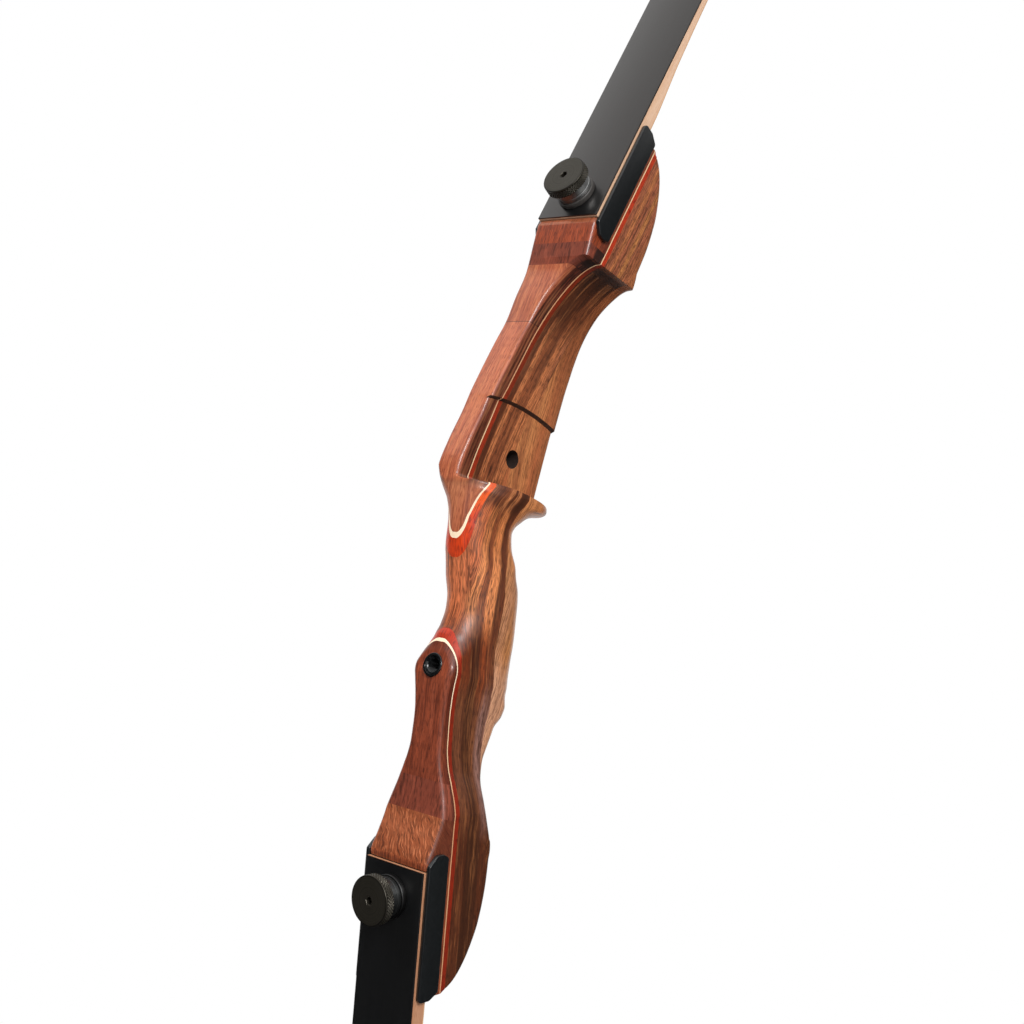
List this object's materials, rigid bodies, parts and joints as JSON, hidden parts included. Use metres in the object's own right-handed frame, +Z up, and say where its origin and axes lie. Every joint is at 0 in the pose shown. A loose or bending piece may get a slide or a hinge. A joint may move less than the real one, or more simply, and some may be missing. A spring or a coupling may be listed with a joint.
{
  "type": "takedown recurve bow",
  "caption": "Unstrung takedown recurve bow: laminated wooden riser with grip, arrow shelf and sight window, and two recurved limbs held by knurled knobs.",
  "frame": {"origin": "the deepest point of the grip's throat, on the middle plane of the bow", "axes": "+Z up the bow along the riser, -Y towards the target, +X towards the side of the sight window, which is the archer's left"},
  "size_m": [0.0494, 0.1344, 1.4758],
  "materials": {
    "streaked_walnut": "lacquered, satin",
    "golden_walnut": "lacquered, satin",
    "salmon_walnut": "lacquered, satin",
    "dark_walnut": "lacquered, satin",
    "red_walnut": "lacquered, satin",
    "orange_walnut": "lacquered, satin",
    "flame_walnut": "lacquered, satin",
    "padauk": "lacquered, satin",
    "maple": "lacquered, satin",
    "limb_maple": "lacquered, satin",
    "black_fibreglass": "polished",
    "clear_fibreglass": "polished, see-through on wood",
    "black_plate": "polished",
    "rubber": "moulded",
    "steel": "turned",
    "black_steel": "blackened",
    "bronzed_knob": "dark anodised",
    "brass": "turned"
  },
  "bodies": {
    "riser": {"riser_core": "streaked_walnut", "riser_belly_block": "golden_walnut", "upper_padauk_strip": "padauk", "lower_padauk_strip": "padauk", "upper_maple_strip": "maple", "lower_maple_strip": "maple", "upper_back_block": "salmon_walnut", "upper_back_splice": "salmon_walnut", "upper_back_band": "dark_walnut", "upper_back_inlay": "red_walnut", "upper_pocket_block": "orange_walnut", "lower_back_block": "red_walnut", "lower_back_band": "dark_walnut", "lower_back_inlay": "flame_walnut", "lower_pocket_block": "red_walnut", "upper_left_plate": "black_plate", "upper_right_plate": "black_plate", "lower_left_plate": "black_plate", "lower_right_plate": "black_plate", "upper_limb_bushing": "brass", "lower_limb_bushing": "brass", "upper_locating_pin": "steel", "lower_locating_pin": "steel", "stabiliser_bushing": "black_steel"},
    "upper_limb": {"upper_limb_back_glass": "black_fibreglass", "upper_limb_back_core": "limb_maple", "upper_limb_wedge": "limb_maple", "upper_limb_belly_core": "limb_maple", "upper_limb_belly_glass": "clear_fibreglass", "upper_tip_overlay": "black_plate", "upper_rubber_washer": "rubber"},
    "upper_collar": {"upper_collar": "steel"},
    "upper_bolt": {"upper_limb_bolt": "bronzed_knob"},
    "lower_limb": {"lower_limb_back_glass": "black_fibreglass", "lower_limb_back_core": "limb_maple", "lower_limb_wedge": "limb_maple", "lower_limb_belly_core": "limb_maple", "lower_limb_belly_glass": "clear_fibreglass", "lower_tip_overlay": "black_plate", "lower_rubber_washer": "rubber"},
    "lower_collar": {"lower_collar": "steel"},
    "lower_bolt": {"lower_limb_bolt": "bronzed_knob"}
  },
  "joints": [
    {"name": "upper_limb_slide", "type": "slide", "parent": "riser", "child": "upper_limb", "axis": [0, -0.9659, 0.2588], "range_m": [0, 0.05]},
    {"name": "upper_collar_slide", "type": "slide", "parent": "upper_limb", "child": "upper_collar", "axis": [0, -0.9659, 0.2588], "range_m": [0, 0.018]},
    {"name": "upper_bolt_turn", "type": "hinge", "parent": "upper_collar", "child": "upper_bolt", "pos_m": [0, -0.01434, 0.21019], "axis": [0, -0.9659, 0.2588], "range_deg": [0, 6120]},
    {"name": "lower_limb_slide", "type": "slide", "parent": "riser", "child": "lower_limb", "axis": [0, -0.9659, -0.2588], "range_m": [0, 0.05]},
    {"name": "lower_collar_slide", "type": "slide", "parent": "lower_limb", "child": "lower_collar", "axis": [0, -0.9659, -0.2588], "range_m": [0, 0.018]},
    {"name": "lower_bolt_turn", "type": "hinge", "parent": "lower_collar", "child": "lower_bolt", "pos_m": [0, -0.01434, -0.21019], "axis": [0, -0.9659, -0.2588], "range_deg": [0, 6120]}
  ],
  "couplings": [
    {"joint": "upper_collar_slide", "follows": "upper_bolt_turn", "m_per_rad": 0.00016844},
    {"joint": "lower_collar_slide", "follows": "lower_bolt_turn", "m_per_rad": 0.00016844}
  ]
}
